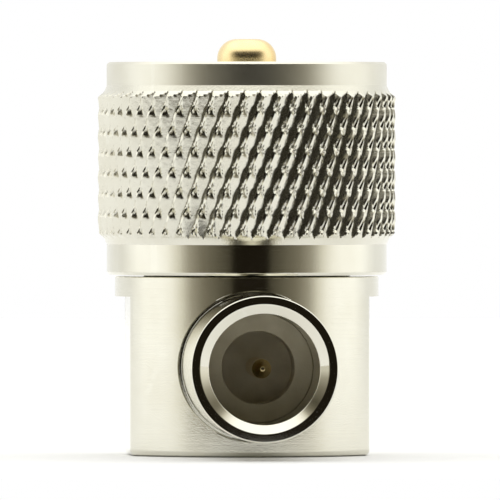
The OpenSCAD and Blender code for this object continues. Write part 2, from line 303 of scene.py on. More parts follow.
def make_piece(name, patches, material, node, body="adapter", sharp=30.0, upper=()):
    """Joins the patches into one closed mesh with outward faces, and seats it on its body in place of its
    node. Each pair of upper is a height and the material of the faces whose middle is above it, lowest
    first."""
    points = np.concatenate([p for p, _ in patches])
    starts = np.cumsum([0] + [len(p) for p, _ in patches[:-1]])
    points, faces = weld(points, [make(start) for (_, make), start in zip(patches, starts)])
    mesh = bpy.data.meshes.new(name)
    mesh.from_pydata(points.tolist(), [], faces)
    shell = bmesh.new()
    shell.from_mesh(mesh)
    bmesh.ops.recalc_face_normals(shell, faces=shell.faces)
    open_edges = sum(1 for e in shell.edges if not e.is_manifold)
    shell.to_mesh(mesh)
    shell.free()
    if open_edges:
        raise RuntimeError(f"{name} has {open_edges} open edges")
    mesh.shade_smooth()
    mesh.set_sharp_from_angle(angle=math.radians(sharp))
    for coat in (material, *(coat for _, coat in upper)):
        mesh.materials.append(coat)
    middles = np.empty(3 * len(mesh.polygons))
    mesh.polygons.foreach_get("center", middles)
    coats = np.searchsorted([height for height, _ in upper], middles[2::3])
    mesh.polygons.foreach_set("material_index", coats.astype(np.int32))
    piece = bpy.data.objects.new(name, mesh)
    bpy.context.scene.collection.objects.link(piece)
    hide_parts(node)
    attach(piece, body)
    return piece


def rounded(corners, cut, steps=3, closed=True):
    """An outline whose corners are short parabolas: corner P with unit directions a and b to its neighbours
    becomes P + cut * ((1 - k)^2 a + k^2 b) for k from 0 to 1, with a shorter cut on short sides. One more
    point at twice the cut on each side keeps the shading of the straight sides flat. An open outline keeps
    its ends."""
    p = np.asarray(corners, float)
    back, ahead = np.roll(p, 1, axis=0) - p, np.roll(p, -1, axis=0) - p
    back_l, ahead_l = np.linalg.norm(back, axis=1), np.linalg.norm(ahead, axis=1)
    reach = np.minimum(cut, SIDE_SHARE * np.minimum(back_l, ahead_l))
    if not closed:
        reach[[0, -1]] = 0.0
    a, b = back / back_l[:, None], ahead / ahead_l[:, None]
    k = np.linspace(0, 1, steps + 1)[None, :, None]
    bend = (1 - k) ** 2 * a[:, None] + k**2 * b[:, None]
    bend = np.concatenate([2 * a[:, None], bend, 2 * b[:, None]], axis=1)
    return (p[:, None] + reach[:, None, None] * bend).reshape(-1, 2)


def four_corners(r_in, r_out, low, high, cut):
    """A closed profile of four rounded corners between two radii and two heights."""
    return rounded([(r_in, low), (r_out, low), (r_out, high), (r_in, high)], cut)


def along_plug(radius, turn, height):
    """Points at a radius, an angle and a height on the plug's axis."""
    return np.stack(np.broadcast_arrays(radius * np.cos(turn), radius * np.sin(turn), height), -1)


def along_port(radius, turn, reach):
    """Points at a radius and an angle round the side barrel's axis, reach away from the plug's axis."""
    x, z = radius * np.cos(turn), PORT_Z + radius * np.sin(turn)
    return np.stack(np.broadcast_arrays(x, -reach, z), -1)


def turned(profile, place, columns=ROUND_POINTS, closed=True):
    """Surface of revolution: each profile point (radius, height) carried round the axis of place."""
    turn = TURN * np.arange(columns)[:, None] / columns
    return [grid(place(profile[:, 0][None], turn, profile[:, 1][None]), wrap_m=closed)]


def sector(profile, start, end, columns):
    """A closed profile carried part of the way round the plug's axis, with both ends capped."""
    turn = np.linspace(start, end, columns)[:, None]
    points = along_plug(profile[:, 0][None], turn, profile[:, 1][None])
    return [grid(points, wrap_n=False), polygons(points[[0, -1]])]


def add_node(tree, kind, inputs=None, **settings):
    """Adds a node, sets its options, and gives each named input a value or a link."""
    node = tree.nodes.new(kind)
    for key, value in settings.items():
        setattr(node, key, value)
    for key, value in (inputs or {}).items():
        if isinstance(value, bpy.types.NodeSocket):
            tree.links.new(value, node.inputs[key])
        else:
            node.inputs[key].default_value = value
    return node


def calc(tree, operation, *values, clamp=False):
    """The result of a Math node on two or three values or links."""
    node = add_node(tree, "ShaderNodeMath", dict(enumerate(values)), operation=operation, use_clamp=clamp)
    return node.outputs[0]


def stretch(tree, value, old=(0.0, 1.0), new=(0.0, 1.0), smooth=False):
    """A value whose run from one end of old to the other becomes a run between the ends of new."""
    ends = {"From Min": old[0], "From Max": old[1], "To Min": new[0], "To Max": new[1]}
    curve = "SMOOTHSTEP" if smooth else "LINEAR"
    node = add_node(tree, "ShaderNodeMapRange", {"Value": value, **ends}, interpolation_type=curve)
    return node.outputs["Result"]


VALUE, VECTOR = "NodeSocketFloat", "NodeSocketVector"
# Where most values of a noise lie
NOISE_RANGE = (0.3, 0.7)
# Pointiness of the outer edges that handling wears
EDGE_RANGE = (0.53, 0.62)


def new_group(name, inputs, outputs):
    """An empty shader node group with named sockets: its tree, its inputs and its output node."""
    tree = bpy.data.node_groups.new(name, "ShaderNodeTree")
    for side, sockets in (("INPUT", inputs), ("OUTPUT", outputs)):
        for label, kind in sockets.items():
            tree.interface.new_socket(name=label, in_out=side, socket_type=kind)
    return tree, tree.nodes.new("NodeGroupInput").outputs, tree.nodes.new("NodeGroupOutput")


def grain_group():
    """Fine crystal grain of a plated or moulded surface, and broad dull patches."""
    tree, given, out = new_group(
        "fine_grain", {"Vector": VECTOR, "Size": VALUE, "Patch": VALUE}, {"Grain": VALUE, "Dullness": VALUE}
    )
    for size, detail, label in (("Size", 2.0, "Grain"), ("Patch", 3.0, "Dullness")):
        scale = calc(tree, "DIVIDE", 1.0, given[size])
        noise = add_node(
            tree, "ShaderNodeTexNoise", {"Vector": given["Vector"], "Scale": scale, "Detail": detail}
        )
        tree.links.new(stretch(tree, noise.outputs["Fac"], NOISE_RANGE), out.inputs[label])
    return tree


def turning_group():
    """Fine lines that a lathe tool leaves: noise that changes only along the axis of turning."""
    tree, given, out = new_group(
        "turning_lines", {"Vector": VECTOR, "Axis": VECTOR, "Pitch": VALUE}, {"Lines": VALUE}
    )
    along = add_node(
        tree, "ShaderNodeVectorMath", {0: given["Vector"], 1: given["Axis"]}, operation="DOT_PRODUCT"
    )
    place = calc(tree, "DIVIDE", along.outputs["Value"], given["Pitch"])
    noise = add_node(
        tree, "ShaderNodeTexNoise", {"W": place, "Scale": 1.0, "Detail": 2.0}, noise_dimensions="1D"
    )
    tree.links.new(noise.outputs["Fac"], out.inputs["Lines"])
    return tree


def wear_group():
    """Handling wear: a mask that is white on outer edges, broken up by the grain."""
    tree, given, out = new_group("edge_wear", {"Grain": VALUE}, {"Wear": VALUE})
    shape = add_node(tree, "ShaderNodeNewGeometry")
    edge = stretch(tree, shape.outputs["Pointiness"], EDGE_RANGE)
    tree.links.new(calc(tree, "MULTIPLY", edge, given["Grain"]), out.inputs["Wear"])
    return tree


GROUP_MAKERS = {"fine_grain": grain_group, "turning_lines": turning_group, "edge_wear": wear_group}


def add_group(tree, name, inputs):
    """Places a shared node group, which is built the first time it is asked for."""
    shared = bpy.data.node_groups.get(name) or GROUP_MAKERS[name]()
    return add_node(tree, "ShaderNodeGroup", inputs, node_tree=shared)


def new_material(name):
    """A material with an emptied tree: the material, its tree and its Object coordinates."""
    material = bpy.data.materials.new(name)
    material.use_nodes = True
    tree = material.node_tree
    tree.nodes.clear()
    return material, tree, add_node(tree, "ShaderNodeTexCoord").outputs["Object"]


def end_material(tree, inputs):
    """Ends a material's tree with a Principled shader of these inputs."""
    shader = add_node(tree, "ShaderNodeBsdfPrincipled", inputs)
    add_node(tree, "ShaderNodeOutputMaterial", {"Surface": shader.outputs["BSDF"]})


def bumps(tree, height, relief):
    """The normal of a surface that rises by relief where the height is 1."""
    inputs = {"Height": height, "Strength": 1.0, "Distance": relief}
    return add_node(tree, "ShaderNodeBump", inputs).outputs["Normal"]


def blend_colour(tree, mask, plain, other):
    """A colour that goes from plain to other as the mask goes from 0 to 1."""
    mix = add_node(tree, "ShaderNodeMix", {"Factor": mask}, data_type="RGBA")
    for label, colour in (("A", plain), ("B", other)):
        socket = next(s for s in mix.inputs if s.name == label and s.type == "RGBA")
        socket.default_value = (*colour, 1.0)
    return next(s for s in mix.outputs if s.type == "RGBA")


PLUG_AXIS = (0.0, 0.0, 1.0)
PORT_AXIS = (0.0, 1.0, 0.0)
# Each plated metal's colour and roughness among the finishes, the axis of its lathe lines, and in
# millimetres its grain, the pitch of those lines and the relief of both
PLATES = {
    "nickel_plate_plug": ("nickel", "gloss", PLUG_AXIS, 0.1, 0.02, 0.0008),
    "nickel_plate_port": ("nickel", "port_gloss", PORT_AXIS, 0.1, 0.02, 0.0002),
    "nickel_plate_knurl": ("nickel", "knurl_gloss", PLUG_AXIS, 0.14, 0.07, 0.0015),
    "nickel_plate_top": ("nickel", "top_gloss", PLUG_AXIS, 0.14, 0.07, 0.0002),
    "gold_plate_plug": ("gold", "plug_pin_gloss", PLUG_AXIS, 0.12, 0.08, 0.0008),
    "gold_plate_port": ("gold", "side_pin_gloss", PORT_AXIS, 0.12, 0.08, 0.0008),
    "spring_steel": ("spring", "spring_gloss", PLUG_AXIS, 0.12, 0.1, 0.002),
}
PLATE_PATCH = 3 * MM
# How far the grain lowers and raises a plated metal's roughness
PLATE_SPREAD = (0.92, 1.08)
SKIN_GRAIN = 0.15 * MM
SKIN_PATCH = 1.6 * MM
SKIN_RELIEF = 0.004 * MM
SKIN_ROUGHNESS = (0.45, 0.6)


def plated_metal(name):
    """Plated metal: two close tones, fine grain, lathe lines along the axis and edges worn smooth. It is
    made the first time it is asked for."""
    if name in bpy.data.materials:
        return bpy.data.materials[name]
    tone, gloss, axis, grain_mm, pitch_mm, relief_mm = PLATES[name]
    finishes = bpy.context.scene.adapter_finishes
    colour, shade = getattr(finishes, tone), getattr(finishes, f"{tone}_shade")
    roughness = [factor * getattr(finishes, gloss) for factor in PLATE_SPREAD]
    material, tree, place = new_material(name)
    grain = add_group(tree, "fine_grain", {"Vector": place, "Size": grain_mm * MM, "Patch": PLATE_PATCH})
    lines = add_group(tree, "turning_lines", {"Vector": place, "Axis": axis, "Pitch": pitch_mm * MM})
    wear = add_group(tree, "edge_wear", {"Grain": grain.outputs["Grain"]})
    mask = calc(tree, "SUBTRACT", grain.outputs["Dullness"], wear.outputs["Wear"], clamp=True)
    height = calc(tree, "ADD", grain.outputs["Grain"], lines.outputs["Lines"])
    end_material(tree, {
        "Base Color": blend_colour(tree, mask, colour, shade),
        "Metallic": 1.0,
        "Roughness": stretch(tree, grain.outputs["Grain"], new=roughness),
        "Normal": bumps(tree, height, relief_mm * MM),
    })
    return material


def matt_insulator():
    """Matt moulded insulator: two close tones, darkened and browned from white as painted shade and painted
    warm light bounced off the plating in the port's recess, a fine skin and a weak gloss. It is made the
    first time it is asked for."""
    name = "insulator_white"
    if name in bpy.data.materials:
        return bpy.data.materials[name]
    finishes = bpy.context.scene.adapter_finishes
    material, tree, place = new_material(name)
    grain = add_group(tree, "fine_grain", {"Vector": place, "Size": SKIN_GRAIN, "Patch": SKIN_PATCH})
    # Both tones carry painted shade and painted warm bounce light of the port's recess.
    tones = finishes.insulator, finishes.insulator_shade
    end_material(tree, {
        "Base Color": blend_colour(tree, grain.outputs["Dullness"], *tones),
        "Roughness": stretch(tree, grain.outputs["Grain"], new=SKIN_ROUGHNESS),
        "Normal": bumps(tree, grain.outputs["Grain"], SKIN_RELIEF),
    })
    return material


class ADAPTER_OT_elbow_body(bpy.types.Operator):
    """Build the turned body with its flats, port hole, neck, teeth and nose"""

    bl_idname = "adapter.elbow_body"
    bl_label = "Elbow body"

    def execute(self, context):
        s = context.scene.adapter_body
        make_piece(
            "elbow_body_shell", elbow_patches(s), plated_metal("nickel_plate_plug"),
            "elbow_body",
        )
        return {"FINISHED"}


def elbow_patches(s):
    """Patches of the elbow body: the round front with the port hole, the flats, the back, the flange, the
    bottom and the turned neck. They share their border points, so they weld into one closed shell."""
    body_r, flat, edge = BODY_HIGH.x, s.flat_w / 2, s.edge
    low, high, step = s.chamfer, s.body_h - edge, s.body_h - s.flange_h
    hole_r = s.hole_d / 2
    phi = port_rays(flat, low - PORT_Z, high - PORT_Z, step - PORT_Z)
    border_x, border_z = ray_to_border(phi, flat, low - PORT_Z, high - PORT_Z)
    bottom_x = np.sort(border_x[np.isclose(border_z, low - PORT_Z)])
    top_x = np.sort(border_x[np.isclose(border_z, high - PORT_Z)])
    side_z = np.sort(border_z[np.isclose(border_x, flat)]) + PORT_Z
    flat_angle = math.acos(flat / body_r)
    side_angle = np.linspace(-flat_angle, flat_angle, FLAT_POINTS)
    back_angle = np.linspace(flat_angle, math.pi - flat_angle, BACK_POINTS)

    patches = [grid(front_wall(phi, border_x, border_z, hole_r, edge, body_r), wrap_m=False)]
    patches += [grid(port_hole(phi, hole_r, edge, body_r, s), wrap_m=False)]
    sheets = [along_plug(body_r, back_angle[:, None], side_z[None])]
    on_step = np.isclose(side_z, step)
    inner = flat / np.cos(side_angle)[:, None]
    outer = np.full_like(inner, body_r)
    for turn in (0.0, math.pi):
        arc = (side_angle + turn)[:, None]
        sheets.append(along_plug(inner, arc, side_z[on_step | (side_z < step)][None]))
        sheets.append(along_plug(outer, arc, side_z[on_step | (side_z > step)][None]))
        sheets.append(along_plug(np.concatenate([inner, outer], axis=1), arc, step))
    patches += [grid(sheet, False, False) for sheet in sheets]

    ring = np.concatenate([
        np.arctan2(-np.sqrt(body_r**2 - top_x**2), top_x),
        side_angle[1:-1],
        back_angle,
        side_angle[1:-1] + math.pi,
    ])
    neck = neck_profile(s, body_r, high)
    patches += [grid(along_plug(neck[:, 0][None], ring[:, None], neck[:, 1][None]), wrap_m=False)]
    patches += [grid(bottom_rings(s, body_r, flat, bottom_x, side_angle, back_angle), wrap_m=False)]
    half = math.asin(s.tooth_w / s.neck_d)
    sink = 0.05 * MM
    r_in, r_out = s.nose_d / 2 - sink, s.neck_d / 2 - edge
    z_in, z_out = s.shoulder_z - sink, s.shoulder_z + s.tooth_h
    tooth = four_corners(r_in, r_out, z_in, z_out, edge)
    for turn in (0.0, math.pi):
        patches += sector(tooth, turn - half, turn + half, KEY_POINTS)
    return patches


def port_rays(flat, low, high, step):
    """Angles of rays from the port's centre: one to each corner of the front wall's border and to the ends
    of the flange's ledge, and evenly spread ones that don't come too near to these."""
    even = np.linspace(-math.pi, math.pi, RAYS + 1)[:-1]
    marks = np.array([math.atan2(z, x) for z in (low, high, step) for x in (-flat, flat)])
    nearest = 0.4 * TURN / RAYS
    far = np.abs(even[:, None] - marks[None]).min(axis=1) > nearest
    return np.sort(np.concatenate([even[far], marks]))


def ray_to_border(phi, flat, low, high):
    """Where each ray meets the rectangle from -flat to flat and from low to high round the port's centre."""
    with np.errstate(divide="ignore"):
        to_side = np.abs(flat / np.cos(phi))
        to_end = np.where(np.sin(phi) > 0, high, low) / np.sin(phi)
    to_end = np.where(np.isfinite(to_end), to_end, np.inf)
    reach = np.minimum(to_side, np.abs(to_end))
    x, z = reach * np.cos(phi), reach * np.sin(phi)
    x = np.where(np.isclose(np.abs(x), flat), np.sign(x) * flat, x)
    z = np.where(np.isclose(z, low), low, np.where(np.isclose(z, high), high, z))
    return x, z


def front_wall(phi, border_x, border_z, hole_r, edge, body_r):
    """Round front between the port hole and the border: straight lines from the hole's edge to the border in
    front view, laid back onto the cylinder y = -sqrt(r^2 - x^2)."""
    k = np.linspace(0, 1, WALL_POINTS)[None]
    start = hole_r + edge
    x = start * np.cos(phi)[:, None] * (1 - k) + border_x[:, None] * k
    z = start * np.sin(phi)[:, None] * (1 - k) + border_z[:, None] * k
    return np.stack([x, -np.sqrt(body_r**2 - x**2), PORT_Z + z], -1)


def port_hole(phi, hole_r, edge, body_r, s):
    """Port hole: rings from its broken edge on the round front down to the shank hole's closed end."""
    surface = np.sqrt(body_r**2 - ((hole_r + edge) * np.cos(phi)) ** 2)
    bend, shank_r = 0.3 * edge, s.shank_d / 2
    rings = [
        (hole_r + edge, surface), (hole_r + bend, surface - bend), (hole_r, surface - edge),
        (hole_r, s.hole_floor), (shank_r, s.hole_floor), (shank_r, s.shank_end), (0.0, s.shank_end),
    ]
    return np.stack([along_port(r, phi, np.broadcast_to(t, phi.shape)) for r, t in rings], axis=1)


def neck_profile(s, body_r, high):
    """Flange top, neck with the ring's groove, shoulder, nose and insulator bore as one turned profile."""
    neck, groove, nose, bore = s.neck_d / 2, s.groove_d / 2, s.nose_d / 2, s.bore_d / 2
    nose_z = BODY_HIGH.z
    groove_top = s.groove_z + s.groove_h
    corners = [
        (body_r, high), (body_r - s.edge, s.body_h), (neck, s.body_h), (neck, s.groove_z),
        (groove, s.groove_z), (groove, groove_top), (neck, groove_top), (neck, s.shoulder_z),
        (nose, s.shoulder_z), (nose, nose_z - s.nose_chamfer), (nose - s.nose_chamfer, nose_z),
        (bore, nose_z), (bore, s.bore_z), (0.0, s.bore_z),
    ]
    return rounded(corners, s.edge, closed=False)


def bottom_rings(s, body_r, flat, bottom_x, side_angle, back_angle):
    """Bottom: the flatted outline, its chamfer, the flat face, and the pocket for the end cap."""

    def outline(inset):
        r, f = body_r - inset, flat - inset
        corner = math.acos(f / r)
        x = bottom_x * f / flat
        side = side_angle[1:-1] * corner / math.acos(flat / body_r)
        back = np.interp(back_angle, back_angle[[0, -1]], [corner, math.pi - corner])
        front = np.stack([x, -np.sqrt(r**2 - x**2)], -1)
        right = np.stack([np.full_like(side, f), f * np.tan(side)], -1)
        return np.concatenate([front, right, r * np.stack([np.cos(back), np.sin(back)], -1), -right])

    rim, foot = outline(0.0), outline(s.chamfer)
    turn = np.arctan2(foot[:, 1], foot[:, 0])
    bulge = 0.18
    rounding = 0.5 * (rim + foot) + bulge * (rim - foot)
    pocket = s.cap_d / 2 * np.stack([np.cos(turn), np.sin(turn)], -1)
    flats = [rim, rounding, foot, pocket, pocket, 0.0 * pocket]
    heights = [s.chamfer, (0.5 - bulge) * s.chamfer, 0.0, 0.0, s.cap_h, s.cap_h]
    rings = [np.concatenate([xy, np.full((len(xy), 1), z)], axis=1) for xy, z in zip(flats, heights)]
    return np.stack(rings, axis=1)


class ADAPTER_OT_coupling_nut(bpy.types.Operator):
    """Build the coupling nut with its diamond knurl outside and its screw thread inside"""

    bl_idname = "adapter.coupling_nut"
    bl_label = "Coupling nut"

    def execute(self, context):
        s = context.scene.adapter_nut
        upper = (
            (NUT_LOW.z + s.low_band, plated_metal("nickel_plate_knurl")),
            (NUT_HIGH.z - s.top_band, plated_metal("nickel_plate_top")),
        )
        make_piece(
            "coupling_nut_shell", nut_patches(s), plated_metal("nickel_plate_plug"),
            "coupling_nut", body="nut", sharp=15.0, upper=upper,
        )
        return {"FINISHED"}


KNURL_TEETH = 56
# Share of a tooth by which the knurl is turned
KNURL_PHASE = 0.594
# Columns of the mesh in one tooth of the knurl; the walls of both grooves are whole numbers of them wide
TOOTH_COLUMNS = 12
MAIN_RIGHT = 2
MAIN_LEFT = 8
CROSS_RIGHT = 6
CROSS_LEFT = 4
# Column at which the cross grooves start in the middle row
CROSS_START = 1
# Columns on each side of a crest over which the cross grooves fade, and the share of their depth left on it
RIDGE = 1
RIDGE_CUT = 0.4
# One column of the nut's inner wall stands for this many of its outer wall
INNER_STEP = 4
# Parts of the thread's wave that are its flat crest and its flank; the rest is the flat root
THREAD_CREST = 0.12
THREAD_FLANK = 0.74


def nut_patches(s):
    """Outer wall with the knurl, inner wall with the thread, and the two flat faces between them. The inner
    wall has one column for every few of the outer wall's."""
    columns = np.arange(KNURL_TEETH * TOOTH_COLUMNS) / TOOTH_COLUMNS
    knurl_low, knurl_high = NUT_LOW.z + s.low_band, NUT_HIGH.z - s.top_band
    knurl_mid = NUT_LOW.z + s.knurl_mid
    row_step = s.knurl_row / TOOTH_COLUMNS
    rows_down = int((knurl_mid - knurl_low) / row_step)
    rows_up = int((knurl_high - knurl_mid) / row_step)

    def turn_at(column, z):
        # the columns lean with the main grooves, and stand upright outside the knurl
        climb = (np.clip(z, knurl_low, knurl_high) - knurl_mid) / (2 * s.knurl_row)
        return TURN / KNURL_TEETH * (column + climb + KNURL_PHASE), climb

    def band(face, knurl_end, rise):
        # a plain band from its chamfered outer edge to the knurl
        corners = [(band_r - s.chamfer, face), (band_r, face + rise), (band_r, knurl_end)]
        return rounded(corners, NUT_EDGE, closed=False)

    band_r = s.band_d / 2
    z_knurl = knurl_mid + row_step * np.arange(-rows_down, rows_up + 1)
    z_knurl = np.concatenate([[knurl_low], z_knurl, [knurl_high]])
    low_edge = band(NUT_LOW.z, knurl_low, s.chamfer)
    top_edge = band(NUT_HIGH.z, knurl_high, -s.chamfer)[::-1]
    z = np.concatenate([low_edge[:-1, 1], z_knurl, top_edge[1:, 1]])
    turn, climb = turn_at(columns[:, None], z[None])
    r = np.concatenate([low_edge[:-1, 0], np.full(len(z_knurl), band_r), top_edge[1:, 0]])
    r = np.broadcast_to(r, turn.shape).copy()
    knurled = slice(len(low_edge) - 1, len(low_edge) - 1 + len(z_knurl))
    inside = np.minimum(z_knurl - knurl_low, knurl_high - z_knurl)
    r[:, knurled] = knurl_radius(s, columns[:, None], climb[:, knurled], inside[None])
    outer = along_plug(r, turn, z[None])

    bore_r, bore_z = bore_profile(s).T[:, None]
    bore_turn, _ = turn_at(columns[::INNER_STEP, None], bore_z)
    inner = along_plug(thread_radius(s, bore_r, bore_turn, bore_z), bore_turn, bore_z)
    patches = [grid(outer, wrap_m=False, split=True), grid(inner, wrap_m=False)]
    for outer_ring, inner_ring in ((outer[:, 0], inner[:, 0]), (outer[:, -1], inner[:, -1])):
        corners = [np.roll(outer_ring, -k, axis=0)[::INNER_STEP] for k in range(INNER_STEP + 1)]
        corners += [np.roll(inner_ring, -1, axis=0), inner_ring]
        patches.append(polygons(np.stack(corners, axis=1)))
    return patches


def columns_past(place):
    """Columns of the mesh between the last whole tooth and a place that is given in teeth."""
    return TOOTH_COLUMNS * (place - np.floor(place + SLACK))


def knurl_radius(s, column, climb, inside):
    """Radius of the knurl: the point circle less the deeper of two crossing families of V grooves, less
    seeded burrs. The main grooves rise to the right. The cross ones rise to the left and cut less into the
    crests. Next to the bands, which inside is the distance from, two slopes hold the radius down."""
    column, climb = np.broadcast_arrays(column, climb)
    point_r, crest = NUT_HIGH.x, TOOTH_COLUMNS - MAIN_LEFT
    main = columns_past(column)
    cross = columns_past(column + 2 * climb - CROSS_START / TOOTH_COLUMNS)
    main_walls = [0, MAIN_RIGHT, crest, TOOTH_COLUMNS]
    cross_walls = [0, CROSS_RIGHT, TOOTH_COLUMNS - CROSS_LEFT, TOOTH_COLUMNS]
    cut_main = np.interp(main, main_walls, [s.main_depth, s.lip, 0.0, s.main_depth])
    cut_cross = np.interp(cross, cross_walls, [s.cross_depth, 0.0, 0.0, s.cross_depth])
    cut_cross *= np.interp(np.abs(main - crest), [0, RIDGE], [RIDGE_CUT, 1.0])
    burr = np.random.default_rng(KNURL_TEETH).random(main.shape)
    burr = (burr + np.roll(burr, 1, axis=0) + np.roll(burr, 1, axis=1)) / 3
    r = point_r - np.maximum(cut_main, cut_cross) - s.burr * burr
    slopes = [0.0, s.flare_h, s.flare_h + s.tooth_end_h]
    return np.minimum(r, np.interp(inside, slopes, [s.band_d / 2, point_r - s.main_depth, point_r]))


def bore_profile(s):
    """Nut's inside from its lower face up: lip, ring groove, land, relief, thread and entry cone."""
    lip, groove_r, relief, crest = s.lip_d / 2, s.ring_groove_d / 2, s.relief_d / 2, s.thread_d / 2
    z0, z1 = NUT_LOW.z, NUT_HIGH.z
    z_groove = z0 + s.lip_h
    z_land = z_groove + s.ring_groove_h
    z_relief = z_land + s.lip_h
    z_thread = z_relief + s.relief_h
    z_entry = z1 - (s.entry_d / 2 - crest)
    lower = rounded(
        [
            (lip, z0), (lip, z_groove), (groove_r, z_groove), (groove_r, z_land), (lip, z_land),
            (lip, z_relief), (relief, z_relief), (relief, z_thread), (crest, z_thread),
        ],
        BORE_EDGE, steps=2, closed=False,
    )
    rows = np.linspace(z_thread, z_entry, THREAD_POINTS)[1:]
    thread = np.stack([np.full_like(rows, crest), rows], -1)
    return np.concatenate([lower, thread, [(s.entry_d / 2, z1)]])


def thread_radius(s, r, turn, z):
    """Right-hand screw thread: between its two ends the bore widens by a clipped triangle wave of the height
    less the share of a turn, in pitches."""
    crest, z_entry = s.thread_d / 2, NUT_HIGH.z - (s.entry_d - s.thread_d) / 2
    z_thread = NUT_LOW.z + 2 * s.lip_h + s.ring_groove_h + s.relief_h
    phase = z / s.thread_pitch - turn / TURN
    wave = np.abs(2 * (phase - np.floor(phase)) - 1)
    inside = np.clip((z - z_thread) / s.thread_pitch, 0, 1) * np.isclose(r, crest) * (z <= z_entry)
    return r + s.thread_depth * np.clip((wave - THREAD_CREST) / THREAD_FLANK, 0, 1) * inside


class ADAPTER_OT_retaining_ring(bpy.types.Operator):
    """Build the split ring that holds the nut on the neck"""

    bl_idname = "adapter.retaining_ring"
    bl_label = "Retaining ring"

    def execute(self, context):
        s = context.scene.adapter_nut
        r = RING_HIGH.x
        profile = four_corners(r - s.ring_w, r, RING_LOW.z, RING_HIGH.z, WIRE_EDGE)
        start = TURN / 4 + s.ring_gap / 2
        wire = sector(profile, start, start + TURN - s.ring_gap, RING_POINTS)
        make_piece(
            "retaining_ring_wire", wire, plated_metal("spring_steel"),
            "retaining_ring", body="ring",
        )
        return {"FINISHED"}


class ADAPTER_OT_plug_contact(bpy.types.Operator):
    """Build the plug's thick centre pin and the insulator that holds it"""

    bl_idname = "adapter.plug_contact"
    bl_label = "Plug contact"

    def execute(self, context):
        s = context.scene.adapter_port
        stem, r, tip = s.plug_stem_d / 2, PLUG_PIN_HIGH.x, s.plug_tip_r
        low, high, seat = PLUG_PIN_LOW.z, PLUG_PIN_HIGH.z, PLUG_INSULATOR_HIGH.z
        quarter = np.linspace(0, TURN / 4, TIP_POINTS)
        cap = np.stack([r - tip + tip * np.cos(quarter), high - tip + tip * np.sin(quarter)], -1)
        corners = [(0, low), (stem, low), (stem, seat), (r, seat), (r, high - 2 * tip)]
        shaft = rounded(corners, PIN_EDGE, closed=False)
        profile = np.concatenate([shaft, cap, [(0.0, high)]])
        pin = turned(profile, along_plug, closed=False)
        make_piece("plug_pin_contact", pin, plated_metal("gold_plate_plug"), "plug_pin")
        profile = four_corners(
            stem + s.fit_gap, PLUG_INSULATOR_HIGH.x, PLUG_INSULATOR_LOW.z, seat, DISC_EDGE
        )
        disc = turned(profile, along_plug)
        make_piece("plug_insulator_disc", disc, matt_insulator(), "plug_insulator")
        return {"FINISHED"}


class ADAPTER_OT_side_barrel(bpy.types.Operator):
    """Build the plain side barrel with its countersunk mouth"""

    bl_idname = "adapter.side_barrel"
    bl_label = "Side barrel"

    def execute(self, context):
        s = context.scene.adapter_port
        r, front, shank = BARREL_HIGH.x, -BARREL_LOW.y, s.shank_d / 2
        end, bore, mouth, tail = -BARREL_HIGH.y, s.bore_d / 2, s.mouth_d / 2, s.tail_d / 2
        under_r, under_end = r - s.undercut_depth, s.undercut_t + s.undercut_w
        profile = rounded(
            [
                (tail, end), (shank, end), (shank, s.barrel_seat), (r, s.barrel_seat), (r, s.undercut_t),
                (under_r, s.undercut_t), (under_r, under_end), (r, under_end), (r, front - s.bevel),
                (r - s.bevel, front), (mouth, front), (bore, front - s.countersink_h), (bore, s.step_t),
                (tail, s.step_t),
            ],
            BARREL_EDGE,
        )
        tube = turned(profile, along_port, BARREL_POINTS)
        make_piece(
            "side_barrel_tube", tube, plated_metal("nickel_plate_port"), "side_barrel"
        )
        return {"FINISHED"}


class ADAPTER_OT_side_contact(bpy.types.Operator):
    """Build the thin side pin and the recessed insulator round it"""

    bl_idname = "adapter.side_contact"
    bl_label = "Side contact"

    def execute(self, context):
        s = context.scene.adapter_port
        end, face, recess = -SIDE_INSULATOR_HIGH.y, -SIDE_INSULATOR_LOW.y, s.recess_d / 2
        r, tail, hole = SIDE_INSULATOR_HIGH.x, s.tail_d / 2 - s.fit_gap, s.side_stem_d / 2 + s.fit_gap
        profile = rounded(
            [
                (hole, end), (tail, end), (tail, s.step_t), (r, s.step_t), (r, face), (recess, face),
                (recess, s.recess_t), (hole, s.recess_t),
            ],
            SIDE_EDGE,
        )
        disc = turned(profile, along_port)
        make_piece("side_insulator_disc", disc, matt_insulator(), "side_insulator")
        low, tip, r, stem = -SIDE_PIN_HIGH.y, -SIDE_PIN_LOW.y, SIDE_PIN_HIGH.x, s.side_stem_d / 2
        profile = rounded(
            [
                (0, low), (stem, low), (stem, s.recess_t), (r, s.recess_t), (r, tip - s.side_point_h),
                (s.side_tip_d / 2, tip), (0, tip),
            ],
            SIDE_EDGE, steps=5, closed=False,
        )
        pin = turned(profile, along_port, SIDE_PIN_POINTS, closed=False)
        make_piece("side_pin_contact", pin, plated_metal("gold_plate_port"), "side_pin")
        return {"FINISHED"}


class ADAPTER_OT_end_cap(bpy.types.Operator):
    """Build the pressed cap that closes the bottom"""

    bl_idname = "adapter.end_cap"
    bl_label = "End cap"

    def execute(self, context):
        r, low, high = CAP_HIGH.x, CAP_LOW.z, CAP_HIGH.z
        profile = rounded([(0, low), (r, low), (r, high), (0, high)], CAP_EDGE, closed=False)
        disc = turned(profile, along_plug, closed=False)
        make_piece("end_cap_disc", disc, plated_metal("nickel_plate_plug"), "end_cap")
        return {"FINISHED"}


class ADAPTER_OT_stage(bpy.types.Operator):
    """Set up the white floor, the light tent and the camera"""

    bl_idname = "adapter.stage"
    bl_label = "Stage"

    def execute(self, context):
        scene, s = context.scene, context.scene.adapter_stage
        make_floor(s)
        light_tent(scene, s)
        make_camera(scene, s)
        scene.view_settings.view_transform = "Standard"
        return {"FINISHED"}


FLOOR_WHITE = (0.97, 0.97, 0.98)
FLOOR_SHADE = (0.95, 0.95, 0.96)
FLOOR_GRAIN = 0.4 * MM
FLOOR_PATCH = 60 * MM
FLOOR_ROUGHNESS = 0.9


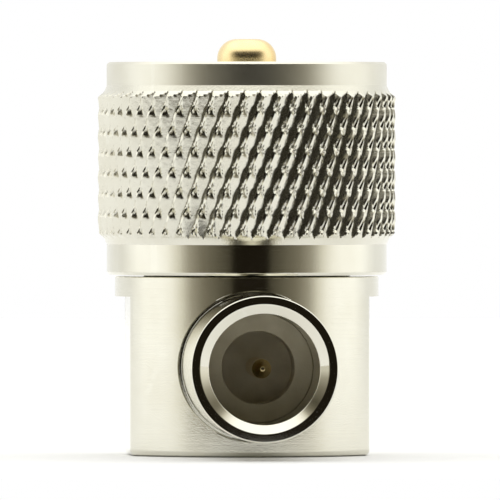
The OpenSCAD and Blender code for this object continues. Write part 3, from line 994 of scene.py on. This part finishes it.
def make_floor(s):
    """White floor: a flat sheet from a line in front of the object to well behind it."""
    x = np.linspace(-s.floor_half, s.floor_half, FLOOR_POINTS)[:, None]
    y = np.linspace(-s.floor_front, s.floor_back, FLOOR_POINTS)[None]
    points = np.stack(np.broadcast_arrays(x, y, 0.0), -1).reshape(-1, 3)
    faces = grid_faces(FLOOR_POINTS, FLOOR_POINTS, False, False, 0)
    mesh = bpy.data.meshes.new("studio_floor")
    mesh.from_pydata(points.tolist(), [], faces.tolist())
    material, tree, place = new_material("floor_white")
    grain = add_group(tree, "fine_grain", {"Vector": place, "Size": FLOOR_GRAIN, "Patch": FLOOR_PATCH})
    white = blend_colour(tree, grain.outputs["Dullness"], FLOOR_WHITE, FLOOR_SHADE)
    end_material(tree, {"Base Color": white, "Roughness": FLOOR_ROUGHNESS})
    mesh.materials.append(material)
    floor = bpy.data.objects.new("studio_floor", mesh)
    bpy.context.scene.collection.objects.link(floor)


# Angle from the tent's open front in degrees, and the light that comes from there
TENT = (
    (0.0, (0.010, 0.008, 0.005)),
    (14.0, (0.012, 0.010, 0.006)),
    (17.0, (0.075, 0.068, 0.047)),
    (40.0, (0.17, 0.155, 0.116)),
    (52.0, (0.32, 0.30, 0.242)),
    (62.0, (0.66, 0.64, 0.56)),
    (72.0, (0.90, 0.89, 0.84)),
    (82.0, (1.0, 1.0, 0.97)),
    (105.0, (1.0, 1.0, 0.97)),
    (128.0, (0.75, 0.75, 0.73)),
    (180.0, (0.75, 0.75, 0.73)),
)
# How much darker the front is above the horizon, and how much brighter the roof is
FRONT_LIFT = 1.8
TOP_BOOST = 0.2
# Heights on the unit sphere between which the dark front ends and the bright roof starts
FRONT_END = (0.45, 0.85)
ROOF_START = (0.55, 0.95)


def light_tent(scene, s):
    """World light of a white tent that is open towards -Y: dark in front, more so above the horizon, and
    white at the sides, above and behind. The camera itself sees plain white."""
    world = bpy.data.worlds.new("light_tent")
    scene.world = world
    world.use_nodes = True
    tree = world.node_tree
    tree.nodes.clear()
    direction = add_node(tree, "ShaderNodeTexCoord").outputs["Generated"]
    ray = add_node(tree, "ShaderNodeSeparateXYZ", {0: direction}).outputs
    front = calc(tree, "MULTIPLY", ray["Y"], -1.0)
    ahead, above = calc(tree, "MAXIMUM", front, 0.0), calc(tree, "MAXIMUM", ray["Z"], 0.0)
    facing = calc(tree, "MULTIPLY_ADD", calc(tree, "MULTIPLY", ahead, above), FRONT_LIFT, front)
    low = stretch(tree, ray["Z"], FRONT_END, (1.0, 0.0), smooth=True)
    facing = calc(tree, "MULTIPLY", facing, low)
    ramp = add_node(tree, "ShaderNodeValToRGB", {"Fac": stretch(tree, facing, (1.0, -1.0))})
    stops = ramp.color_ramp.elements
    ordered = [stops[0]] + [stops.new(0.5) for _ in TENT[2:]] + [stops[-1]]
    for (degrees, colour), stop in zip(TENT, ordered):
        stop.position = (1 - math.cos(math.radians(degrees))) / 2
        stop.color = (*colour, 1.0)
    strength = stretch(tree, ray["Z"], ROOF_START, (s.light, s.light * (1 + TOP_BOOST)), smooth=True)
    tent = add_node(tree, "ShaderNodeBackground", {"Color": ramp.outputs["Color"], "Strength": strength})
    white = add_node(tree, "ShaderNodeBackground", {"Color": (1.0, 1.0, 1.0, 1.0), "Strength": 1.0})
    seen = add_node(tree, "ShaderNodeLightPath").outputs["Is Camera Ray"]
    mix = add_node(tree, "ShaderNodeMixShader", {0: seen, 1: tent.outputs[0], 2: white.outputs[0]})
    add_node(tree, "ShaderNodeOutputWorld", {"Surface": mix.outputs[0]})


SENSOR_MM = 36.0
CLIP_NEAR, CLIP_FAR = 0.01, 20.0


def make_camera(scene, s):
    """Long-lens camera a little left of the side barrel's axis and just above the middle of the object."""
    data = bpy.data.cameras.new("studio_camera")
    data.sensor_width = SENSOR_MM
    data.lens = SENSOR_MM * s.distance / s.view_w
    data.clip_start, data.clip_end = CLIP_NEAR, CLIP_FAR
    camera = bpy.data.objects.new("studio_camera", data)
    sin, cos = math.sin(s.azimuth), math.cos(s.azimuth)
    aim = Vector((s.aim_side * cos, -s.aim_side * sin, s.aim_height))
    camera.location = (aim.x - s.distance * sin, aim.y - s.distance * cos, s.height)
    camera.rotation_euler = (aim - camera.location).to_track_quat("-Z", "Y").to_euler()
    scene.collection.objects.link(camera)
    scene.camera = camera


OPERATORS = (
    ADAPTER_OT_elbow_body,
    ADAPTER_OT_coupling_nut,
    ADAPTER_OT_retaining_ring,
    ADAPTER_OT_plug_contact,
    ADAPTER_OT_side_barrel,
    ADAPTER_OT_side_contact,
    ADAPTER_OT_end_cap,
    ADAPTER_OT_stage,
)
SETTINGS = {
    "adapter_body": BodySizes,
    "adapter_nut": NutSizes,
    "adapter_port": PortSizes,
    "adapter_finishes": Finishes,
    "adapter_stage": StageSettings,
}


class ADAPTER_PT_panel(bpy.types.Panel):
    """Lists the pieces and their sizes and colours"""

    bl_idname = "ADAPTER_PT_panel"
    bl_label = "Coax adapter"
    bl_space_type = "VIEW_3D"
    bl_region_type = "UI"
    bl_category = "Adapter"

    def draw(self, context):
        for operator in OPERATORS:
            self.layout.operator(operator.bl_idname)
        for name, group in SETTINGS.items():
            box = self.layout.box()
            box.label(text=group.__doc__)
            for field in group.__annotations__:
                box.prop(getattr(context.scene, name), field)


CLASSES = (*SETTINGS.values(), *OPERATORS, ADAPTER_PT_panel)


def register():
    """Registers the classes and hangs the settings on the scene."""
    for cls in CLASSES:
        bpy.utils.register_class(cls)
    for name, group in SETTINGS.items():
        setattr(bpy.types.Scene, name, bpy.props.PointerProperty(type=group))


def unregister():
    """Takes the settings off the scene and removes the classes."""
    for name in SETTINGS:
        delattr(bpy.types.Scene, name)
    for cls in reversed(CLASSES):
        bpy.utils.unregister_class(cls)


def main():
    """Registers the add-on and makes every piece and the stage."""
    register()
    bpy.ops.adapter.elbow_body()
    bpy.ops.adapter.coupling_nut()
    bpy.ops.adapter.retaining_ring()
    bpy.ops.adapter.plug_contact()
    bpy.ops.adapter.side_barrel()
    bpy.ops.adapter.side_contact()
    bpy.ops.adapter.end_cap()
    bpy.ops.adapter.stage()
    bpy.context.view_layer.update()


if __name__ == "__main__":
    main()
